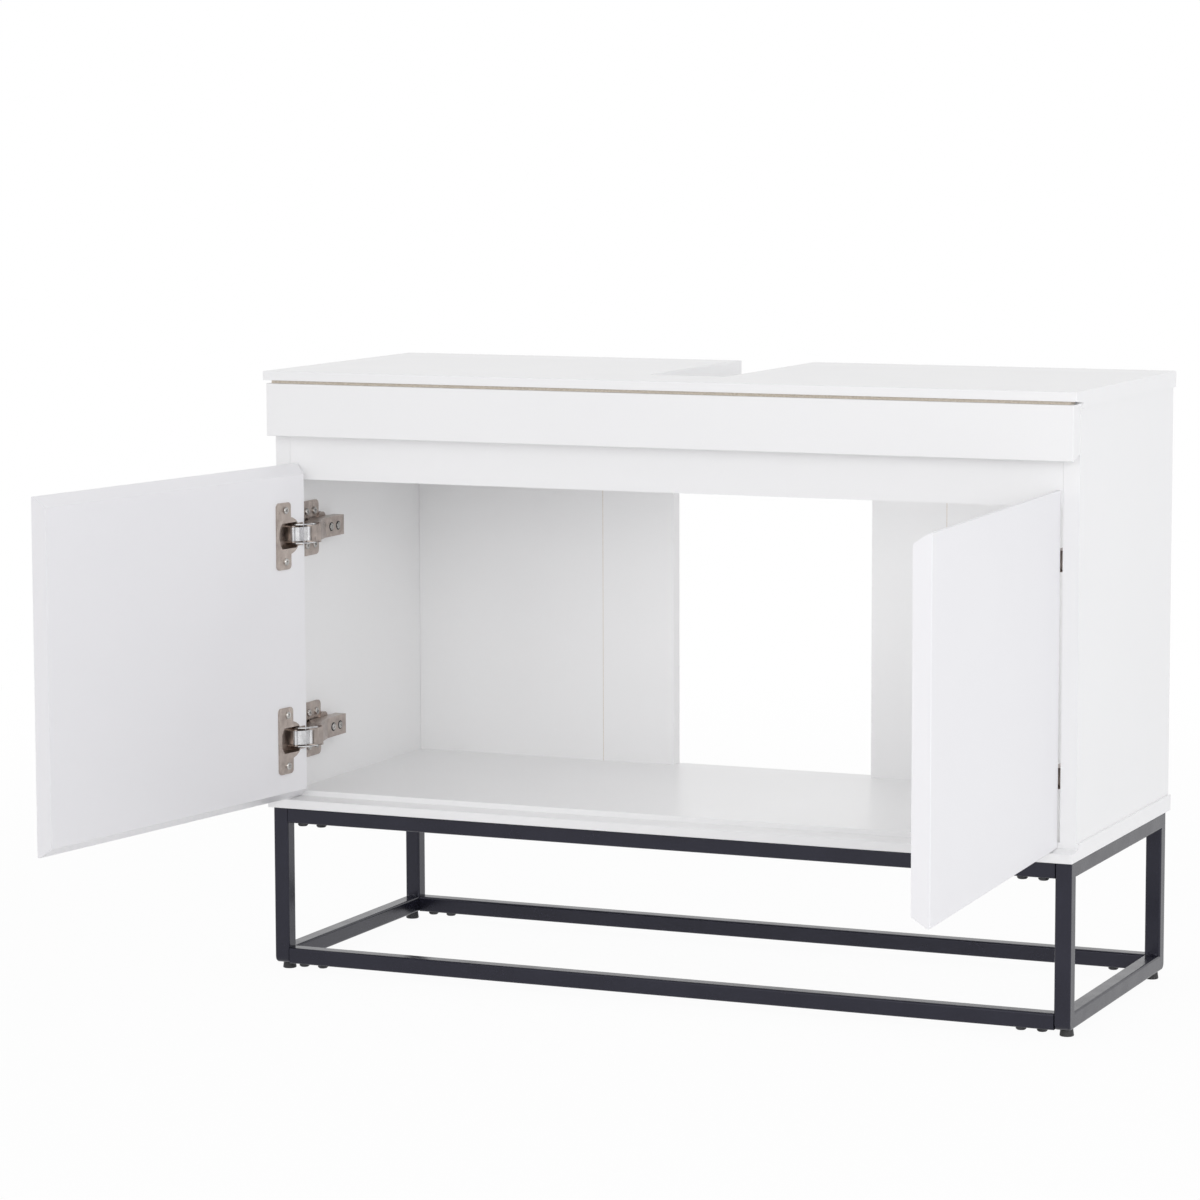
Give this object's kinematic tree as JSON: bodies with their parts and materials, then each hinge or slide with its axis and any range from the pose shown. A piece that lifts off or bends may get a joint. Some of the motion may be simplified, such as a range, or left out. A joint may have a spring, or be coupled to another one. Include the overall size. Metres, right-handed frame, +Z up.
{
  "type": "two-door wash basin base unit",
  "caption": "Low bathroom basin base unit with two open bevelled doors on concealed cup hinges, a slotted top, an open back and a square-tube steel frame on small feet.",
  "frame": {"origin": "on the floor under the middle of the top board", "axes": "+X to the right of someone facing the doors, -Y the front, +Z up"},
  "size_m": [0.8216, 0.6807, 0.569],
  "materials": {
    "white_board": "white melamine-coated board, satin",
    "white_door": "white foil, semi-gloss",
    "beech": "fluted beech",
    "black_steel": "fine black powder coat",
    "black_plastic": "moulded black plastic",
    "black_screw": "black zinc",
    "zinc_screw": "bright zinc plate",
    "nickel": "satin nickel plate",
    "bright_steel": "bright nickel plate"
  },
  "bodies": {
    "cabinet": {"top_board": "white_board", "base_board": "white_board", "left_side_panel": "white_board", "right_side_panel": "white_board", "left_back_panel": "white_board", "right_back_panel": "white_board", "left_back_post": "white_board", "right_back_post": "white_board", "front_rail": "white_board", "false_front": "white_board", "false_front_screws": "zinc_screw", "dowels": "beech", "base_screws": "zinc_screw", "left_side_frame": "black_steel", "right_side_frame": "black_steel", "front_top_rail": "black_steel", "front_bottom_rail": "black_steel", "back_top_rail": "black_steel", "back_bottom_rail": "black_steel", "rail_spigots": "black_steel", "rail_bolts": "black_screw", "frame_screws": "black_screw", "front_left_foot": "black_plastic", "front_right_foot": "black_plastic", "back_left_foot": "black_plastic", "back_right_foot": "black_plastic", "left_hinge_arms": "nickel", "left_arm_pins": "zinc_screw", "left_mounting_plates": "nickel", "left_adjusting_screws": "zinc_screw", "left_plate_screws": "zinc_screw", "right_hinge_arms": "nickel", "right_arm_pins": "zinc_screw", "right_mounting_plates": "nickel", "right_adjusting_screws": "zinc_screw", "right_plate_screws": "zinc_screw"},
    "left_door": {"left_door": "white_door", "left_hinge_cups": "nickel", "left_cup_pins": "zinc_screw", "left_cup_screws": "zinc_screw"},
    "left_outer_links": {"left_outer_links": "bright_steel"},
    "left_inner_links": {"left_inner_links": "bright_steel"},
    "right_door": {"right_door": "white_door", "right_hinge_cups": "nickel", "right_cup_pins": "zinc_screw", "right_cup_screws": "zinc_screw"},
    "right_outer_links": {"right_outer_links": "bright_steel"},
    "right_inner_links": {"right_inner_links": "bright_steel"}
  },
  "joints": [
    {"name": "left_outer_link_turn", "type": "hinge", "parent": "cabinet", "child": "left_outer_links", "pos_m": [-0.35368, -0.14529, 0.3215], "axis": [0, 0, 1], "range_deg": [-68.18, 0.05]},
    {"name": "left_door_turn", "type": "hinge", "parent": "left_outer_links", "child": "left_door", "pos_m": [-0.36309, -0.15856, 0.3215], "axis": [0, 0, 1], "range_deg": [0, 166.13]},
    {"name": "left_inner_link_turn", "type": "hinge", "parent": "cabinet", "child": "left_inner_links", "pos_m": [-0.3515, -0.14, 0.3215], "axis": [0, 0, 1], "range_deg": [-32.26, 0.05]},
    {"name": "right_outer_link_turn", "type": "hinge", "parent": "cabinet", "child": "right_outer_links", "pos_m": [0.35368, -0.14529, 0.3215], "axis": [0, 0, -1], "range_deg": [-64.36, 3.87]},
    {"name": "right_door_turn", "type": "hinge", "parent": "right_outer_links", "child": "right_door", "pos_m": [0.36395, -0.1579, 0.3215], "axis": [0, 0, -1], "range_deg": [-9.32, 156.81]},
    {"name": "right_inner_link_turn", "type": "hinge", "parent": "cabinet", "child": "right_inner_links", "pos_m": [0.3515, -0.14, 0.3215], "axis": [0, 0, -1], "range_deg": [-30.45, 1.86]}
  ],
  "couplings": [
    {"joint": "left_outer_link_turn", "follows": "left_door_turn", "ratio": -0.41011},
    {"joint": "left_inner_link_turn", "follows": "left_door_turn", "ratio": -0.19386},
    {"joint": "right_outer_link_turn", "follows": "right_door_turn", "ratio": -0.41011},
    {"joint": "right_inner_link_turn", "follows": "right_door_turn", "ratio": -0.19386}
  ]
}
